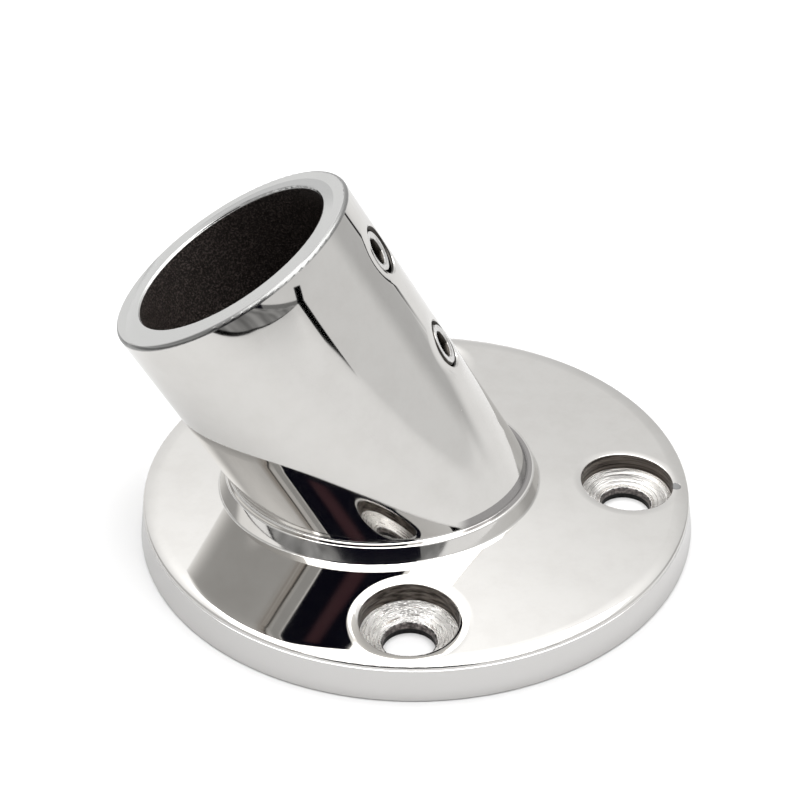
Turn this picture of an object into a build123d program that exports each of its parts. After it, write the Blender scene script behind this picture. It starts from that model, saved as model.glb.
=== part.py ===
from build123d import *
from math import cos, radians, sin, tan
import os

# Stanchion base: a polished stainless casting, one round flange and one leaning tube socket, with
# two set screws that grip the tube.  Millimetres.  The origin is the centre of the flange's
# underside.  +Z is up, and the socket leans towards -X.

# Driving dimensions of the flange
FLANGE_RADIUS = 35.0
FLANGE_EDGE_HEIGHT = 4.6
FLANGE_EDGE_RADIUS = 34.4
FLANGE_TOP_FILLET = 0.25
FLANGE_BOTTOM_FILLET = 0.2
DOME_SLOPE = 0.045

# Driving dimensions of the socket: its axis crosses the underside at SOCKET_X, and its length
# is measured along the axis from there to the rim
SOCKET_ANGLE = 60.0
SOCKET_X = -0.4
SOCKET_LENGTH = 43.0
SOCKET_RADIUS = 16.15
BORE_RADIUS = 12.9
RIM_OUTER_FILLET = 0.5
RIM_INNER_FILLET = 0.3

# Driving dimensions of the collar round the socket's foot
COLLAR_TOP = 7.3
COLLAR_WIDTH = 0.85
COLLAR_DRAFT = 20.0
COLLAR_FILLET = 0.25
COLLAR_START = 3.0
COLLAR_ROOT_FILLET = 0.25
SOCKET_ROOT_FILLET = 0.25

# Driving dimensions of the three mounting screw holes
HOLE_PITCH_RADIUS = 26.7
HOLE_RADIUS = 3.15
SINK_RADIUS = 5.8
SINK_DEPTH = 2.1
SINK_CONE_ANGLE = 126.0
SINK_EDGE_FILLET = 0.15

# Driving dimensions of the two set screws and of their tapped holes
SCREW_LENGTH = 3.0
SCREW_RADIUS = 2.95
TAPPED_RADIUS = 3.0
TAPPED_MOUTH_RADIUS = 3.3
SCREW_HEAD_CHAMFER = 0.45
SCREW_POINT_CHAMFER = 0.7
CUP_RADIUS = 1.5
CUP_DEPTH = 0.45
HEX_ACROSS_FLATS = 3.0
HEX_DEPTH = 1.6
HEX_MOUTH_RADIUS = 1.8

# Each set screw: how far its centre lies below the rim, and how far its point is from the
# socket's axis in the position shown
SET_SCREWS = {
    "upper_set_screw": (8.0, 12.70),
    "lower_set_screw": (23.0, 13.05),
}

# How far a cutting tool reaches past the surface that it cuts
OVERCUT = 5.0

LEAN = radians(SOCKET_ANGLE)
ALONG_SOCKET = (-cos(LEAN), 0, sin(LEAN))
TOWARDS_SCREWS = (sin(LEAN), 0, cos(LEAN))
SOCKET_FRAME = Plane(origin=(SOCKET_X, 0, 0), x_dir=TOWARDS_SCREWS, z_dir=ALONG_SOCKET)

HOLE_AZIMUTHS = (-90.0, 0.0, 90.0)


def turned(points):
    """The solid that a closed outline of (radius, height) points sweeps about its Z axis."""
    return revolve(make_face(Plane.XZ * Polyline(*points, close=True)), Axis.Z)


def dome_height(radius):
    """Height of the flange's top at this distance from its centre."""
    return FLANGE_EDGE_HEIGHT + (FLANGE_EDGE_RADIUS - radius) * DOME_SLOPE


def flange():
    """A low round disc with a slightly drafted side and a gently coned top."""
    outline = make_face(
        Plane.XZ
        * Polyline(
            (0, 0),
            (FLANGE_RADIUS, 0),
            (FLANGE_EDGE_RADIUS, FLANGE_EDGE_HEIGHT),
            (0, dome_height(0)),
            close=True,
        )
    )
    outer = outline.vertices().sort_by(Axis.X)[-2:].sort_by(Axis.Z)
    outline = fillet(outer[-1], FLANGE_TOP_FILLET)
    lowest = outline.vertices().filter_by(lambda v: v.Z < FLANGE_BOTTOM_FILLET).sort_by(Axis.X)[-1]
    outline = fillet(lowest, FLANGE_BOTTOM_FILLET)
    return revolve(outline, Axis.Z)


def collar_section(height):
    """The collar's ellipse at this height: the socket's own oblique section, made wider."""
    width = COLLAR_WIDTH + (COLLAR_TOP - height) * tan(radians(COLLAR_DRAFT))
    centre_x = SOCKET_X - COLLAR_TOP / tan(LEAN)
    long_radius = SOCKET_RADIUS / sin(LEAN) + width
    return Pos(centre_x, 0, height) * Ellipse(long_radius, SOCKET_RADIUS + width)


def collar():
    """The low drafted step round the socket's foot, with its top edge eased."""
    step = loft([collar_section(COLLAR_START), collar_section(COLLAR_TOP)])
    return fillet(step.edges().group_by(Axis.Z)[-1], COLLAR_FILLET)


def collared_flange():
    """The flange with the collar on it, blended by the fillet at the collar's root."""
    body = flange() + collar()
    below_top_edge = COLLAR_TOP - 2 * COLLAR_FILLET
    roots = []
    for edge in body.edges():
        box = edge.bounding_box()
        if box.min.Z > FLANGE_EDGE_HEIGHT + COLLAR_FILLET and box.max.Z < below_top_edge:
            roots.append(edge)
    return fillet(roots, COLLAR_ROOT_FILLET)


def sleeve():
    """The socket's outer cylinder, square at the rim and run on below the underside."""
    foot = -SOCKET_RADIUS
    return SOCKET_FRAME * turned(
        [
            (0, foot),
            (SOCKET_RADIUS, foot),
            (SOCKET_RADIUS, SOCKET_LENGTH),
            (0, SOCKET_LENGTH),
        ]
    )


def bore():
    """The tube's bore, right through the casting."""
    foot = -SOCKET_RADIUS
    mouth = SOCKET_LENGTH + OVERCUT
    return SOCKET_FRAME * turned([(0, foot), (BORE_RADIUS, foot), (BORE_RADIUS, mouth), (0, mouth)])


def rim_edge(body, radius):
    """The edge of this radius at the socket's square end."""
    rim = SOCKET_FRAME.origin + SOCKET_FRAME.z_dir * SOCKET_LENGTH
    for edge in body.edges().filter_by(GeomType.CIRCLE):
        at_rim = (edge.arc_center - rim).length < RIM_INNER_FILLET
        if at_rim and abs(edge.radius - radius) < RIM_INNER_FILLET:
            return edge


def screw_hole(azimuth):
    """A counterbored and countersunk hole for a mounting screw, standing at this azimuth."""
    seat = dome_height(HOLE_PITCH_RADIUS) - SINK_DEPTH
    cone_depth = (SINK_RADIUS - HOLE_RADIUS) / tan(radians(SINK_CONE_ANGLE / 2))
    tool = turned(
        [
            (0, -OVERCUT),
            (HOLE_RADIUS, -OVERCUT),
            (HOLE_RADIUS, seat - cone_depth),
            (SINK_RADIUS, seat),
            (SINK_RADIUS, seat + SINK_DEPTH + OVERCUT),
            (0, seat + SINK_DEPTH + OVERCUT),
        ]
    )
    return Rot(0, 0, azimuth) * Pos(HOLE_PITCH_RADIUS, 0, 0) * tool


def at_screw(below_rim):
    """The frame of a set screw: origin on the socket's axis, local Z out through the wall."""
    return SOCKET_FRAME * Pos(0, 0, SOCKET_LENGTH - below_rim) * Rot(0, 90, 0)


def tapped_hole(below_rim):
    """A set screw's hole through the socket's wall, drawn at the thread's outside radius."""
    mouth_depth = TAPPED_MOUTH_RADIUS - TAPPED_RADIUS
    flare = SOCKET_RADIUS + OVERCUT
    return at_screw(below_rim) * turned(
        [
            (0, BORE_RADIUS - OVERCUT),
            (TAPPED_RADIUS, BORE_RADIUS - OVERCUT),
            (TAPPED_RADIUS, SOCKET_RADIUS - mouth_depth),
            (TAPPED_RADIUS + mouth_depth + OVERCUT, flare),
            (0, flare),
        ]
    )


def sink_edges(body):
    """The edges where the mounting holes break the flange's top."""
    near_top = dome_height(HOLE_PITCH_RADIUS) - SINK_DEPTH / 2
    found = []
    for edge in body.edges():
        box = edge.bounding_box()
        span = max(box.size.X, box.size.Y)
        if box.min.Z > near_top and abs(span - 2 * SINK_RADIUS) < SINK_EDGE_FILLET:
            found.append(edge)
    return found


def socket_roots(body):
    """The arcs of the edge where the socket stands on the collar's flat top."""
    found = []
    for edge in body.edges().filter_by(lambda e: e.bounding_box().size.Z < COLLAR_FILLET):
        middle = SOCKET_FRAME.to_local_coords(edge @ 0.5)
        from_socket = abs(Vector(middle.X, middle.Y).length - SOCKET_RADIUS)
        from_top = abs((edge @ 0.5).Z - COLLAR_TOP)
        if from_top < COLLAR_FILLET and from_socket < COLLAR_FILLET / 2:
            found.append(edge)
    return found


def base_casting():
    """Flange, collar and socket in one casting, with its bore and holes."""
    body = collared_flange() + sleeve()
    body = fillet(socket_roots(body), SOCKET_ROOT_FILLET)
    body = split(body, Plane.XY, keep=Keep.TOP)
    body -= bore()
    body = fillet(rim_edge(body, SOCKET_RADIUS), RIM_OUTER_FILLET)
    body = fillet(rim_edge(body, BORE_RADIUS), RIM_INNER_FILLET)
    for azimuth in HOLE_AZIMUTHS:
        body -= screw_hole(azimuth)
    body = fillet(sink_edges(body), SINK_EDGE_FILLET)
    for below_rim, _ in SET_SCREWS.values():
        body -= tapped_hole(below_rim)
    return body


def set_screw(below_rim, point_radius):
    """A short cup-point set screw with a hexagon socket, its thread drawn as a plain shank."""
    blank = turned(
        [
            (0, CUP_DEPTH),
            (CUP_RADIUS, 0),
            (SCREW_RADIUS - SCREW_POINT_CHAMFER, 0),
            (SCREW_RADIUS, SCREW_POINT_CHAMFER),
            (SCREW_RADIUS, SCREW_LENGTH - SCREW_HEAD_CHAMFER),
            (SCREW_RADIUS - SCREW_HEAD_CHAMFER, SCREW_LENGTH),
            (0, SCREW_LENGTH),
        ]
    )
    corner_radius = HEX_ACROSS_FLATS / 2 / cos(radians(30))
    floor = SCREW_LENGTH - HEX_DEPTH
    key_way = Pos(0, 0, floor) * extrude(RegularPolygon(corner_radius, 6), HEX_DEPTH + OVERCUT)
    mouth = turned(
        [
            (0, SCREW_LENGTH - HEX_MOUTH_RADIUS),
            (HEX_MOUTH_RADIUS, SCREW_LENGTH),
            (0, SCREW_LENGTH),
        ]
    )
    return at_screw(below_rim) * Pos(0, 0, point_radius) * (blank - key_way - mouth)


def main():
    os.makedirs("parts", exist_ok=True)
    export_step(base_casting(), "parts/base_casting.step")
    for name, (below_rim, point_radius) in SET_SCREWS.items():
        export_step(set_screw(below_rim, point_radius), "parts/" + name + ".step")


main()
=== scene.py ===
import math

import bpy
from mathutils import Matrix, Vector


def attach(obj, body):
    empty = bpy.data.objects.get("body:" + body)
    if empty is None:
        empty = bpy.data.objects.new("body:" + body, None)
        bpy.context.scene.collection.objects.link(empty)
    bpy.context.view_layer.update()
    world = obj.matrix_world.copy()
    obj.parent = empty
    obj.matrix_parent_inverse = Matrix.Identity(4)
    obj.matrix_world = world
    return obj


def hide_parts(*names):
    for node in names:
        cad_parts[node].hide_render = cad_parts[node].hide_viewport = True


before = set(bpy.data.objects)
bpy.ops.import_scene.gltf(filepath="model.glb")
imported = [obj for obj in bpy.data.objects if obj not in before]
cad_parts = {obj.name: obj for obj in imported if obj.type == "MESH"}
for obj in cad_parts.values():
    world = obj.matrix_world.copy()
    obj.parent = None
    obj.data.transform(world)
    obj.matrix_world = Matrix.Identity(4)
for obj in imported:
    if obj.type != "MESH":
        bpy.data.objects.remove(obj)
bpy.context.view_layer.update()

MM = 0.001

# The camera: its distance and direction are from the flange's centre
CAMERA_DISTANCE = 232.7 * MM
CAMERA_AZIMUTH = math.radians(2.0)      # to the right of the part's front
CAMERA_ELEVATION = math.radians(37.7)
CAMERA_AIM = Vector((1.85, 13.71, 22.55)) * MM
CAMERA_LENS = 81.0
CAMERA_SHIFT = (-0.0417, -0.1196)

# The surroundings that the steel mirrors. Azimuths are in degrees, 0 in front and 90 on the right.
FOLD_LEVEL = 0.58                   # how bright the fold of the tent's right wall is
CORNER_GAP = (49.4, 54.6)           # the azimuths of the gap at the tent's corner
SHEET_NEAR_EDGE = (-0.117, 1.2)     # where the white sheet ends: y = start - slope * x, in metres
SHEET_FAR_EDGE = (-0.124, 0.84)

# The part, in millimetres, as it was modelled
FLANGE_RADIUS = 35.0
SOCKET_X = -0.4
SOCKET_LENGTH = 43.0
SOCKET_RADIUS = 16.15
BORE_RADIUS = 12.9
ALONG_SOCKET = Vector((-0.5, 0, math.sqrt(0.75)))
TOWARDS_SCREWS = Vector((math.sqrt(0.75), 0, 0.5))
HOLE_PITCH_RADIUS = 26.7
HOLE_RADIUS = 3.15
SINK_RADIUS = 5.8
TAPPED_RADIUS = 3.0
NICK = (32.85, -0.45, 4.7)
SCREWS_BELOW_RIM = {"upper_set_screw": 8.0, "lower_set_screw": 23.0}
SCREW_POINTS = {"upper_set_screw": 12.70, "lower_set_screw": 13.05}    # from the socket's axis
SCREW_LENGTH = 3.0
SCREW_RADIUS = 2.94
THREAD_PITCH = 1.0
THREAD_DEPTH = 0.5
HEAD_CHAMFER = 0.45
POINT_CHAMFER = 0.7
CUP_RADIUS = 1.5
CUP_DEPTH = 0.45
HEX_ACROSS_FLATS = 3.0
HEX_DEPTH = 1.6
HEX_MOUTH_RADIUS = 1.85
THREAD_ROWS = 56        # of vertices along a screw
THREAD_TURNS = 144      # of vertices round it


class Graph:
    """Short names for the nodes of one tree. A value is a number, a colour or another node's output."""

    def __init__(self, tree):
        self.tree = tree

    def node(self, kind, **settings):
        node = self.tree.nodes.new(kind)
        for name, value in settings.items():
            setattr(node, name, value)
        return node

    def put(self, socket, value):
        if isinstance(value, bpy.types.NodeSocket):
            self.tree.links.new(value, socket)
        else:
            socket.default_value = value

    def math(self, operation, *values):
        node = self.node("ShaderNodeMath", operation=operation)
        for socket, value in zip(node.inputs, values):
            self.put(socket, value)
        return node.outputs[0]

    def vector(self, operation, *values):
        node = self.node("ShaderNodeVectorMath", operation=operation)
        for socket, value in zip(node.inputs, values):
            self.put(socket, value)
        return node.outputs["Value" if operation in ("LENGTH", "DOT_PRODUCT", "DISTANCE") else "Vector"]

    def split(self, vector):
        node = self.node("ShaderNodeSeparateXYZ")
        self.put(node.inputs[0], vector)
        return node.outputs

    def rise(self, value, low, high):
        """0 below low, 1 above high, smooth between."""
        node = self.node("ShaderNodeMapRange", interpolation_type="SMOOTHSTEP")
        for name, given in (("Value", value), ("From Min", low), ("From Max", high)):
            self.put(node.inputs[name], given)
        return node.outputs["Result"]

    def fall(self, value, low, high):
        """1 below low, 0 above high, smooth between."""
        return self.math("SUBTRACT", 1.0, self.rise(value, low, high))

    def between(self, value, low, high, soft):
        """1 from low to high, falling to 0 over soft outside them."""
        up = self.rise(value, low - soft, low)
        return self.math("MULTIPLY", up, self.fall(value, high, high + soft))

    def mix(self, amount, first, second, blend="MIX"):
        node = self.node("ShaderNodeMix", data_type="RGBA", blend_type=blend)
        self.put(node.inputs["Factor"], amount)
        self.put(node.inputs["A"], first)
        self.put(node.inputs["B"], second)
        return node.outputs["Result"]

    def ramp(self, value, stops):
        """Grey levels at given values, straight lines between them."""
        low, high = stops[0][0], stops[-1][0]
        node = self.node("ShaderNodeMapRange")
        for name, given in (("Value", value), ("From Min", low), ("From Max", high)):
            self.put(node.inputs[name], given)
        curve = self.node("ShaderNodeValToRGB")
        elements = curve.color_ramp.elements
        while len(elements) < len(stops):
            elements.new(0.5)
        for element, (place, level) in zip(elements, stops):
            element.position = (place - low) / (high - low)
            element.color = (level, level, level, 1)
        self.put(curve.inputs[0], node.outputs["Result"])
        return curve.outputs["Color"]

    def noise(self, place, scale, detail=2.0, roughness=0.5):
        """Soft random values around 0.5, with features 1 / scale long."""
        node = self.node("ShaderNodeTexNoise")
        self.put(node.inputs["Vector"], place)
        for name, given in (("Scale", scale), ("Detail", detail), ("Roughness", roughness)):
            node.inputs[name].default_value = given
        return node.outputs["Fac"]

    def xyz(self, *values):
        node = self.node("ShaderNodeCombineXYZ")
        for socket, value in zip(node.inputs, values):
            self.put(socket, value)
        return node.outputs[0]

    def all_of(self, first, *others):
        for other in others:
            first = self.math("MULTIPLY", first, other)
        return first

    def spread(self, start, value, gain):
        """start + value * gain."""
        return self.math("ADD", start, self.math("MULTIPLY", value, gain))

    def azimuth(self, x, y):
        """Which way a point lies, in degrees: 0 in front, 90 on the right."""
        return self.math("DEGREES", self.math("ARCTAN2", x, self.math("MULTIPLY", y, -1.0)))


def grey(level):
    return (level, level, level, 1)


def as_colour(value):
    """A number as a grey, and any other node's output as it is."""
    return value if isinstance(value, bpy.types.NodeSocket) else grey(value)


def add_camera():
    data = bpy.data.cameras.new("camera")
    camera = bpy.data.objects.new("camera", data)
    bpy.context.collection.objects.link(camera)
    level = CAMERA_DISTANCE * math.cos(CAMERA_ELEVATION)
    camera.location = (
        level * math.sin(CAMERA_AZIMUTH),
        -level * math.cos(CAMERA_AZIMUTH),
        CAMERA_DISTANCE * math.sin(CAMERA_ELEVATION),
    )
    camera.rotation_euler = (CAMERA_AIM - camera.location).to_track_quat("-Z", "Y").to_euler()
    data.lens = CAMERA_LENS
    data.shift_x, data.shift_y = CAMERA_SHIFT
    data.clip_start = 1 * MM
    data.dof.use_dof = False
    bpy.context.scene.camera = camera


def wall_fold(g, azimuth):
    """How far a direction is inside the fold of the tent's right wall."""
    return g.all_of(g.rise(azimuth, 98, 116), g.fall(azimuth, 131, 136))


def add_world():
    """A light tent: a bright back, greyer sides, and a dark opening at the front for the camera."""
    world = bpy.data.worlds.new("light_tent")
    bpy.context.scene.world = world
    world.use_nodes = True
    g = Graph(world.node_tree)
    x, y, z = g.split(g.node("ShaderNodeTexCoord").outputs["Generated"])
    azimuth = g.azimuth(x, y)
    elevation = g.math("DEGREES", g.math("ARCSINE", z))
    aside = g.math("ABSOLUTE", azimuth)

    # each wall's brightness from the floor up, and the back's again from left to right
    back = g.ramp(elevation, [
        (-10, 0.80), (8, 0.82), (28, 0.92), (35, 1.02), (43, 1.25), (50, 1.6), (70, 1.6)])
    back = g.math("MULTIPLY", back, g.ramp(x, [(-0.22, 1.13), (0.0, 0.99), (0.22, 0.86)]))
    right = g.ramp(elevation, [
        (-10, 0.80), (8, 0.80), (20, 0.76), (40, 0.85), (55, 1.2), (62, 1.6)])
    left = g.ramp(elevation, [
        (-10, 1.2), (8.5, 1.2), (10.5, 0.52), (25, 0.58), (50, 0.75), (62, 1.6)])
    sky = g.mix(g.rise(azimuth, -15, 15), left, right)
    sky = g.mix(g.rise(aside, 118, 150), sky, back)

    def panel(sky, sides, heights, soft, colour):
        inside = g.all_of(g.between(azimuth, *sides, soft), g.between(elevation, *heights, soft))
        return g.mix(inside, sky, colour)

    fold = g.all_of(wall_fold(g, azimuth), g.between(elevation, -30, 30, 10.0))
    sky = g.mix(fold, sky, grey(FOLD_LEVEL))
    sky = panel(sky, (134.5, 136.5), (-5, 1), 0.8, grey(0.02))     # the wall's far end
    # a leaning, puckered seam of the left wall, with the cloth gathered in threads on its left
    pucker = g.noise(g.xyz(elevation, 0.0, 0.0), 0.3, 3.0)
    threads = g.noise(
        g.xyz(g.math("MULTIPLY", azimuth, 1.5), g.math("MULTIPLY", elevation, 0.12), 0.0), 1.0, 3.0)
    upright = g.spread(azimuth, g.ramp(elevation, [(20, 0.0), (50, 1.0)]), 4.5)
    off_seam = g.spread(upright, pucker, 2.0)
    cloth = g.between(elevation, 12, 60, 2.0)
    gather = g.all_of(cloth, g.rise(off_seam, -56, -46), g.fall(off_seam, -44, -42))
    gathered = g.mix(g.rise(threads, 0.4, 0.6), (0.33, 0.29, 0.26, 1), (0.54, 0.52, 0.50, 1))
    sky = g.mix(gather, sky, gathered)
    sky = g.mix(g.all_of(cloth, g.between(off_seam, -44.9, -43.9, 0.5)), sky, grey(0.06))
    sky = panel(sky, (-42.5, -36.6), (12, 60), 0.6, grey(0.47))    # the hem beside it
    sky = panel(sky, (-36.0, -35), (-5, 52), 0.3, grey(1.1))       # the lit edge of the opening
    sky = panel(sky, (24, 49), (-20, 2), 1.0, grey(0.2))           # the room, seen over the sheet's edge
    sky = panel(sky, CORNER_GAP, (-20, 12), 0.5, grey(0.0))
    sky = panel(sky, (-35, 24), (-20, 62), 0.8, (0.004, 0.004, 0.009, 1))   # the opening
    sky = panel(sky, (-15, -10), (36, 43), 6.0, (0.058, 0.027, 0.033, 1))   # the camera's stand
    seen = g.node("ShaderNodeLightPath").outputs["Is Camera Ray"]
    g.put(world.node_tree.nodes["Background"].inputs["Color"], g.mix(seen, sky, grey(1.0)))


def add_softbox():
    light = bpy.data.lights.new("softbox", "AREA")
    light.size = 0.5
    light.energy = 2.0
    softbox = bpy.data.objects.new("softbox", light)
    softbox.location = (0, 0.02, 0.45)
    bpy.context.collection.objects.link(softbox)


def add_floor():
    """A white sheet. In reflections it ends at its front edge, past which the room is dim, and away from
    the part it glows with a painted reflection of the tent and the room.
    """
    bpy.ops.mesh.primitive_plane_add(size=6.0)
    floor = bpy.context.object
    floor.name = "floor"
    material = bpy.data.materials.new("white_sheet")
    material.use_nodes = True
    g = Graph(material.node_tree)
    shader = material.node_tree.nodes["Principled BSDF"]
    shader.inputs["Roughness"].default_value = 1.0
    shader.inputs["Specular IOR Level"].default_value = 0.0
    seen = g.node("ShaderNodeLightPath").outputs
    g.put(shader.inputs["Base Color"], g.mix(seen["Is Camera Ray"], grey(0.62), grey(0.78)))
    x, y, _ = g.split(g.node("ShaderNodeTexCoord").outputs["Object"])
    reach = g.vector("LENGTH", g.xyz(x, y, 0.0))
    azimuth = g.azimuth(x, y)

    def past_edge(start, slope):
        return g.math("SUBTRACT", start, g.spread(y, x, slope))

    # how far a point lies past the sheet's front edge, which has a bend at the middle
    past = g.math("MAXIMUM", past_edge(*SHEET_NEAR_EDGE), past_edge(*SHEET_FAR_EDGE))
    off_sheet = g.rise(past, 0.0, 0.002)
    # the painted room, seen in reflections: cluttered, black in the corner's gap and right under the
    # sheet's edge, pale past the gap
    clutter = g.noise(g.xyz(azimuth, g.math("MULTIPLY", past, 20.0), 0.0), 0.12, 1.0)
    room = g.ramp(clutter, [(0.3, 0.12), (0.7, 0.42)])
    room = g.mix(g.between(azimuth, *CORNER_GAP, 0.5), room, grey(0.0))
    room = g.mix(g.rise(azimuth, CORNER_GAP[1], CORNER_GAP[1] + 1.0), room, grey(0.72))
    room = g.math("MULTIPLY", room, g.rise(past, 0.008, 0.011))
    # the sheet as painted for reflections: greyer far off, painted shade under the fold, where its edge
    # curls down and under the wall's end, black under the gap
    wall = g.all_of(wall_fold(g, azimuth), g.rise(reach, 0.15, 0.45))
    wall_end = g.all_of(g.between(azimuth, 134.2, 136.2, 0.8), g.rise(reach, 0.16, 0.5))
    curl = g.math("MULTIPLY", g.rise(past, -0.035, 0.0), 0.8)
    gap = g.all_of(g.between(azimuth, 49.8, 54.4, 0.4), g.rise(reach, 0.75, 0.95))
    painted_reflection = g.mix(g.rise(reach, 0.25, 1.2), grey(0.98), grey(0.80))
    painted_reflection = g.mix(wall, painted_reflection, grey(FOLD_LEVEL))
    painted_reflection = g.mix(curl, painted_reflection, grey(0.72))
    painted_reflection = g.mix(wall_end, painted_reflection, grey(0.03))
    painted_reflection = g.mix(off_sheet, painted_reflection, room)
    painted_reflection = g.mix(gap, painted_reflection, grey(0.0))
    # away from the part and past the sheet's edge, glossy rays see the floor glow with this painted
    # reflection
    afar = g.math("MAXIMUM", g.rise(reach, 0.06, 0.13), off_sheet)
    glow = g.node("ShaderNodeEmission")
    g.put(glow.inputs["Color"], painted_reflection)
    join = g.node("ShaderNodeMixShader")
    g.put(join.inputs[0], g.math("MULTIPLY", afar, seen["Is Glossy Ray"]))
    g.put(join.inputs[1], shader.outputs[0])
    g.put(join.inputs[2], glow.outputs[0])
    g.put(material.node_tree.nodes["Material Output"].inputs["Surface"], join.outputs[0])
    floor.data.materials.append(material)


class Finish:
    """The look of a metal, built up region by region. Places and heights are in millimetres."""

    def __init__(self, name):
        self.material = bpy.data.materials.new(name)
        self.material.use_nodes = True
        self.shader = self.material.node_tree.nodes["Principled BSDF"]
        self.shader.inputs["Metallic"].default_value = 1.0
        self.g = Graph(self.material.node_tree)
        self.place = self.g.vector(
            "MULTIPLY", self.g.node("ShaderNodeTexCoord").outputs["Object"], (1 / MM, 1 / MM, 1 / MM))
        self.colour = None
        self.roughness = None
        self.metallic = 1.0
        self.height = 0.0

    def overall(self, colour, roughness):
        """The look that the regions are laid over."""
        self.colour = colour
        self.roughness = roughness

    def region(self, inside, colour, roughness, height=0.0, metallic=1.0):
        g = self.g
        self.colour = g.mix(inside, self.colour, colour)
        self.roughness = g.mix(inside, as_colour(self.roughness), as_colour(roughness))
        self.metallic = g.mix(inside, as_colour(self.metallic), as_colour(metallic))
        self.raise_by(g.math("MULTIPLY", inside, height))

    def raise_by(self, height):
        self.height = self.g.math("ADD", self.height, height)

    def finish(self):
        g = self.g
        bump = g.node("ShaderNodeBump")
        bump.inputs["Distance"].default_value = 1.0
        g.put(bump.inputs["Height"], g.math("MULTIPLY", self.height, MM))
        g.put(self.shader.inputs["Normal"], bump.outputs[0])
        g.put(self.shader.inputs["Base Color"], self.colour)
        g.put(self.shader.inputs["Roughness"], self.roughness)
        g.put(self.shader.inputs["Metallic"], self.metallic)
        return self.material


def socket_place(g, place):
    """A point's place along the socket, towards the set screws, sideways, and out from the axis."""
    from_origin = g.vector("SUBTRACT", place, (SOCKET_X, 0, 0))
    along = g.vector("DOT_PRODUCT", from_origin, tuple(ALONG_SOCKET))
    towards = g.vector("DOT_PRODUCT", from_origin, tuple(TOWARDS_SCREWS))
    sideways = g.split(place)[1]
    return along, towards, sideways, g.vector("LENGTH", g.xyz(towards, sideways, 0.0))


def from_screw(g, below_rim, along, sideways):
    """Where a point is from a set screw's axis: up the socket, and straight across."""
    off = g.math("SUBTRACT", along, SOCKET_LENGTH - below_rim)
    return off, g.vector("LENGTH", g.xyz(off, sideways, 0.0))


def rolled(g, distance, width, depth):
    """The height of a top face that polishing has rounded off towards an edge."""
    near = g.math("SUBTRACT", 1.0, g.math("DIVIDE", distance, width))
    near = g.math("MINIMUM", g.math("MAXIMUM", near, 0.0), 1.0)
    return g.math("MULTIPLY", g.math("POWER", near, 2.0), -depth)


def specks(g, place, scale, channel, rare, core, edge):
    """Small round spots, one in some of the cells of a scale: the higher rare is, the fewer."""
    cells = g.node("ShaderNodeTexVoronoi")
    g.put(cells.inputs["Vector"], place)
    cells.inputs["Scale"].default_value = scale
    chosen = g.rise(g.split(cells.outputs["Color"])[channel], rare, rare + 0.02)
    return g.all_of(chosen, g.fall(cells.outputs["Distance"], core, edge))


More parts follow.
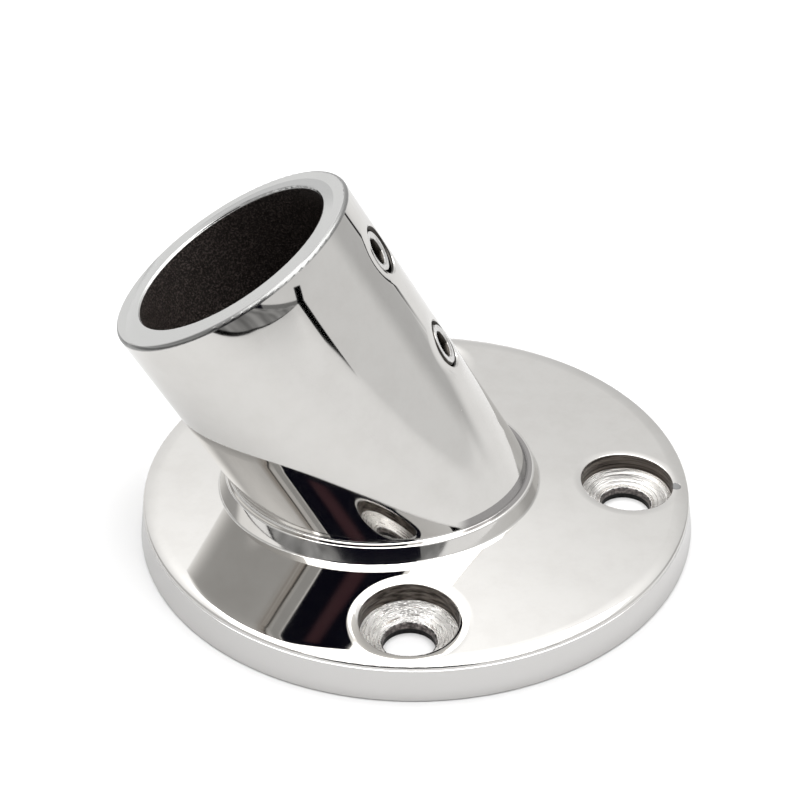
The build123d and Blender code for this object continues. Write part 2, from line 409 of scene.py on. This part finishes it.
def cast_and_polished():
    """The casting: polished outside, as cast in the bore, machined in its holes and underneath."""
    f = Finish("polished_stainless")
    g = f.g
    x, y, z = g.split(f.place)
    along, towards, sideways, out = socket_place(g, f.place)
    reach = g.vector("LENGTH", g.xyz(x, y, 0.0))

    # every polished face is a little wavy and a little uneven in its gloss, with a few pits and dust
    f.raise_by(g.math("MULTIPLY", g.noise(f.place, 0.11, 1.0), 0.016))
    cloud = g.noise(f.place, 0.25, 4.0, 0.65)
    steel = g.mix(g.rise(cloud, 0.35, 0.75), (0.70, 0.687, 0.665, 1), (0.672, 0.657, 0.634, 1))
    f.overall(steel, g.spread(0.02, cloud, 0.05))
    f.region(specks(g, f.place, 0.32, 0, 0.80, 0.018, 0.045), grey(0.22), 0.4, -0.02)
    f.region(specks(g, f.place, 0.17, 1, 0.60, 0.012, 0.024), grey(0.85), 0.9, metallic=0.0)

    # the flange's side is less bright
    side = g.all_of(g.rise(reach, FLANGE_RADIUS - 0.8, FLANGE_RADIUS - 0.55), g.fall(z, 4.2, 4.4))
    f.region(side, (0.66, 0.65, 0.64, 1), g.spread(0.09, cloud, 0.1),
             g.math("MULTIPLY", g.noise(f.place, 0.6, 3.0), 0.012))

    # the socket's end is faced in rings; its outer edge is satin, its colour darkened: painted shade
    # that dims the highlight on the edge
    satin_edge_painted_shade = g.all_of(g.rise(along, SOCKET_LENGTH - 0.6, SOCKET_LENGTH - 0.4),
                         g.rise(out, SOCKET_RADIUS - 0.75, SOCKET_RADIUS - 0.55))
    f.region(satin_edge_painted_shade, (0.29, 0.29, 0.285, 1), 0.3)
    normal = g.node("ShaderNodeTexCoord").outputs["Normal"]
    facing_out = g.rise(g.vector("DOT_PRODUCT", normal, tuple(ALONG_SOCKET)), 0.90, 0.98)
    end_face = g.all_of(g.rise(along, SOCKET_LENGTH - 0.8, SOCKET_LENGTH - 0.6), facing_out)
    inner_edge = g.all_of(g.rise(along, SOCKET_LENGTH - 0.4, SOCKET_LENGTH - 0.3),
                          g.fall(out, BORE_RADIUS + 0.4, BORE_RADIUS + 0.5))
    rim = g.math("MAXIMUM", end_face, inner_edge)
    rings = g.noise(g.xyz(g.math("MULTIPLY", out, 9.0), 0.0, 0.0), 1.0, 2.0)
    f.region(rim, (0.64, 0.64, 0.63, 1), g.spread(0.18, cloud, 0.12),
             g.math("MULTIPLY", rings, 0.0008))
    # painted shade: on its far side the end is darker round the bore, standing in for a bevelled facet
    # there
    far_side = g.rise(g.spread(sideways, towards, 0.6), 6.0, 12.0)
    far_bevel_painted_shade = g.all_of(rim, far_side, g.fall(out, BORE_RADIUS + 1.4, BORE_RADIUS + 1.55))
    f.region(far_bevel_painted_shade, (0.50, 0.50, 0.495, 1), 0.22)
    # painted shade: the collar's top is darkened in the corner beside the tube, behind it under the set
    # screws
    collar_corner_painted_shade = g.all_of(g.rise(x, 5.0, 7.0), g.rise(z, 7.0, 7.1), g.fall(z, 8.3, 8.4),
                      g.rise(out, SOCKET_RADIUS - 0.25, SOCKET_RADIUS - 0.15),
                      g.fall(out, SOCKET_RADIUS + 0.47, SOCKET_RADIUS + 0.57))
    f.region(collar_corner_painted_shade, (0.31, 0.30, 0.295, 1), 0.14)
    # the wheel has rounded off the tube towards its end, most of all beside the set screws
    leant_on = g.all_of(g.rise(towards, -3.0, 10.5), g.fall(towards, 11.0, 13.5))
    below_end = g.math("SUBTRACT", SOCKET_LENGTH - 0.5, along)
    f.raise_by(g.math("MULTIPLY", leant_on, rolled(g, below_end, 2.9, 0.24)))

    # it has rounded off the top towards the flange's edge and the three holes
    upper = g.rise(z, 4.0, 4.2)
    inside_edge = g.math("SUBTRACT", FLANGE_RADIUS - 0.7, reach)
    f.raise_by(g.math("MULTIPLY", upper, rolled(g, inside_edge, 1.9, 0.30)))
    mirrored = g.math("ABSOLUTE", y)
    to_side_hole = g.vector("LENGTH", g.xyz(x, g.math("SUBTRACT", mirrored, HOLE_PITCH_RADIUS), 0.0))
    to_heel_hole = g.vector("LENGTH", g.xyz(g.math("SUBTRACT", x, HOLE_PITCH_RADIUS), y, 0.0))
    to_hole = g.math("MINIMUM", to_side_hole, to_heel_hole)
    f.raise_by(rolled(g, g.math("SUBTRACT", to_side_hole, SINK_RADIUS + 0.1), 1.6, 0.30))
    f.raise_by(rolled(g, g.math("SUBTRACT", to_heel_hole, SINK_RADIUS + 0.1), 1.0, 0.08))

    # the machined holes: turned rings on the cone, streaked dark walls above and below it
    sunk = g.fall(to_hole, SINK_RADIUS + 0.02, SINK_RADIUS + 0.08)
    turn = g.math("ARCTAN2", g.math("SUBTRACT", mirrored, HOLE_PITCH_RADIUS), x)
    fine = g.noise(
        g.xyz(g.math("MULTIPLY", to_hole, 5.5), g.math("MULTIPLY", turn, 0.8), z), 1.0, 4.0, 0.75)
    turned = g.mix(g.rise(fine, 0.30, 0.50), (0.45, 0.41, 0.37, 1), (0.92, 0.905, 0.88, 1))
    f.region(sunk, turned, g.spread(0.18, fine, 0.2), g.math("MULTIPLY", fine, 0.22))
    streak = g.rise(g.noise(
        g.xyz(g.math("MULTIPLY", z, 2.5), g.math("MULTIPLY", turn, 3.0), 0.0), 1.0, 3.0), 0.3, 0.7)
    wall = g.all_of(sunk, g.rise(to_hole, SINK_RADIUS - 0.08, SINK_RADIUS - 0.04))
    f.region(wall, g.mix(streak, (0.035, 0.029, 0.025, 1), (0.20, 0.175, 0.155, 1)), 0.32)
    below = g.fall(to_hole, HOLE_RADIUS + 0.01, HOLE_RADIUS + 0.15)
    f.region(below, g.mix(streak, (0.10, 0.085, 0.08, 1), (0.32, 0.29, 0.28, 1)), 0.4)
    # painted shadow: the bottom of the through-holes' walls is black
    f.region(g.all_of(below, g.fall(z, 0.6, 0.8)), grey(0.02), 0.5)
    burr = g.all_of(g.between(to_hole, HOLE_RADIUS + 0.02, HOLE_RADIUS + 0.12, 0.05),
                    g.rise(g.noise(f.place, 2.5, 3.0), 0.45, 0.52))
    f.region(burr, grey(0.04), 0.6)

    # a nick in the heel hole's edge
    chip = g.vector("DISTANCE", f.place, NICK)
    f.region(g.fall(chip, 0.60, 0.72), grey(0.30), 0.3, -0.15)

    # the machined underside
    under = g.fall(z, 0.02, 0.05)
    lathe = g.noise(g.xyz(g.math("MULTIPLY", reach, 2.2), 0.0, 0.0), 1.0, 3.0)
    f.region(under, (0.55, 0.54, 0.53, 1), g.spread(0.25, cloud, 0.15),
             g.math("MULTIPLY", lathe, 0.02))

    # the bore as cast
    bore = g.all_of(g.fall(out, BORE_RADIUS + 0.03, BORE_RADIUS + 0.1),
                    g.fall(along, SOCKET_LENGTH - 0.4, SOCKET_LENGTH - 0.2))
    grain = g.noise(f.place, 4.2, 2.5, 0.6)
    as_cast = g.mix(g.rise(grain, 0.44, 0.70), (0.016, 0.012, 0.010, 1), (0.115, 0.092, 0.083, 1))
    f.region(bore, as_cast, 0.42, g.math("MULTIPLY", grain, 0.2), 0.5)

    # the two tapped holes, their threads in bump and darkened with painted shade
    for below_rim in SCREWS_BELOW_RIM.values():
        off, away = from_screw(g, below_rim, along, sideways)
        outward = g.rise(towards, 12.0, 12.2)
        rounding = rolled(g, g.math("SUBTRACT", away, TAPPED_RADIUS + 0.3), 1.5, 0.10)
        f.raise_by(g.math("MULTIPLY", outward, rounding))
        tapped = g.all_of(outward, g.fall(away, TAPPED_RADIUS + 0.05, TAPPED_RADIUS + 0.12))
        spin = g.math("DIVIDE", g.math("ARCTAN2", off, sideways), math.tau)
        ridge = g.math("PINGPONG", g.math("ADD", towards, spin), THREAD_PITCH / 2)
        f.region(tapped, (0.05, 0.046, 0.042, 1), 0.3, g.math("MULTIPLY", ridge, 0.8))
    return f.finish()


def screw_steel():
    """Plain stainless for the set screws, with painted shade in their threads and hex sockets."""
    f = Finish("screw_stainless")
    g = f.g
    cloud = g.noise(f.place, 1.2, 4.0, 0.6)
    steel = g.mix(g.rise(cloud, 0.45, 0.75), (0.68, 0.672, 0.66, 1), (0.46, 0.44, 0.42, 1))
    f.overall(steel, g.spread(0.08, cloud, 0.16))
    f.raise_by(g.math("MULTIPLY", g.noise(f.place, 3.0, 3.0), 0.01))
    along, towards, sideways, _ = socket_place(g, f.place)
    head_face = SCREW_RADIUS - HEAD_CHAMFER
    for name, below_rim in SCREWS_BELOW_RIM.items():
        _, away = from_screw(g, below_rim, along, sideways)
        this_screw = g.fall(away, 4.0, 4.1)
        head = SCREW_POINTS[name] + SCREW_LENGTH
        floor = head - HEX_DEPTH
        thread = g.all_of(this_screw, g.rise(away, head_face, head_face + 0.1))
        recess = g.all_of(g.fall(away, HEX_MOUTH_RADIUS + 0.05, HEX_MOUTH_RADIUS + 0.1),
                          g.rise(towards, floor - 0.2, floor - 0.1),
                          g.fall(towards, head - 0.2, head - 0.12))
        # painted shade: the threads and the hex socket are dark
        f.region(g.math("MAXIMUM", thread, recess), (0.05, 0.045, 0.04, 1), 0.25)
    return f.finish()


def thread_radius(height, angle):
    """The radius of a set screw's thread at this height from its point and at this angle."""
    ridge = abs((height / THREAD_PITCH - angle / math.tau) % 1.0 - 0.5) * 2
    radius = SCREW_RADIUS - THREAD_DEPTH * (1 - min(1.0, ridge * 1.15))
    from_head = SCREW_RADIUS - HEAD_CHAMFER + (SCREW_LENGTH - height)
    from_point = SCREW_RADIUS - POINT_CHAMFER + height
    return min(radius, from_head, from_point)


def hexagon_radius(angle):
    """How far a hexagon socket's wall is from its centre at this angle."""
    sixth = math.tau / 6
    return HEX_ACROSS_FLATS / 2 / math.cos((angle % sixth) - sixth / 2)


def screw_rings(angle):
    """(radius, height) along a set screw's skin at one angle, from its cup to its socket's floor."""
    hexagon = hexagon_radius(angle)
    mouth = SCREW_LENGTH - (HEX_MOUTH_RADIUS - hexagon) * 0.8    # where its chamfer meets the wall
    floor = SCREW_LENGTH - HEX_DEPTH
    rings = [(CUP_RADIUS, 0.0), (CUP_RADIUS + 0.12, 0.0)]
    for row in range(THREAD_ROWS + 1):
        height = SCREW_LENGTH * row / THREAD_ROWS
        rings.append((thread_radius(height, angle), height))
    rings += [(HEX_MOUTH_RADIUS + 0.05, SCREW_LENGTH), (HEX_MOUTH_RADIUS, SCREW_LENGTH - 0.02)]
    rings += [(hexagon + 0.03, mouth - 0.02), (hexagon, mouth - 0.08)]
    rings += [(hexagon, floor + 0.06), (hexagon - 0.06, floor), (0.9, floor), (0.85, floor - 0.02)]
    return rings


def add_set_screw(name, below_rim, material):
    """A threaded cup-point set screw in place of the plain CAD one."""
    angles = [math.tau * turn / THREAD_TURNS for turn in range(THREAD_TURNS)]
    columns = [screw_rings(angle) for angle in angles]
    count = len(columns[0])
    centre = Vector((SOCKET_X, 0, 0)) + ALONG_SOCKET * (SOCKET_LENGTH - below_rim)
    point = SCREW_POINTS[name]

    def placed(radius, height, angle):
        across = Vector((0, 1, 0)) * math.sin(angle) - ALONG_SOCKET * math.cos(angle)
        return (centre + TOWARDS_SCREWS * (point + height) + across * radius) * MM

    # the cup's centre and the socket's centre come first, then the rings at each angle
    verts = [placed(0, CUP_DEPTH, 0), placed(0, SCREW_LENGTH - HEX_DEPTH - 0.28, 0)]
    for angle, rings in zip(angles, columns):
        verts += [placed(radius, height, angle) for radius, height in rings]
    faces = []
    for turn in range(THREAD_TURNS):
        here = 2 + turn * count
        there = 2 + (turn + 1) % THREAD_TURNS * count
        faces.append((0, there, here))
        faces.append((1, here + count - 1, there + count - 1))
        faces += [(here + i, there + i, there + i + 1, here + i + 1) for i in range(count - 1)]
    mesh = bpy.data.meshes.new(name + "_threaded")
    mesh.from_pydata(verts, [], faces)
    mesh.materials.append(material)
    for face in mesh.polygons:
        face.use_smooth = True
    mesh.set_sharp_from_angle(angle=math.radians(28))
    screw = bpy.data.objects.new(name + "_threaded", mesh)
    bpy.context.collection.objects.link(screw)
    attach(screw, name)
    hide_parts(name)


add_camera()
add_world()
add_softbox()
add_floor()
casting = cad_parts["base_casting"]
casting.data.materials.clear()
casting.data.materials.append(cast_and_polished())
steel = screw_steel()
for name, below_rim in SCREWS_BELOW_RIM.items():
    add_set_screw(name, below_rim, steel)
bpy.context.scene.view_settings.view_transform = "Standard"
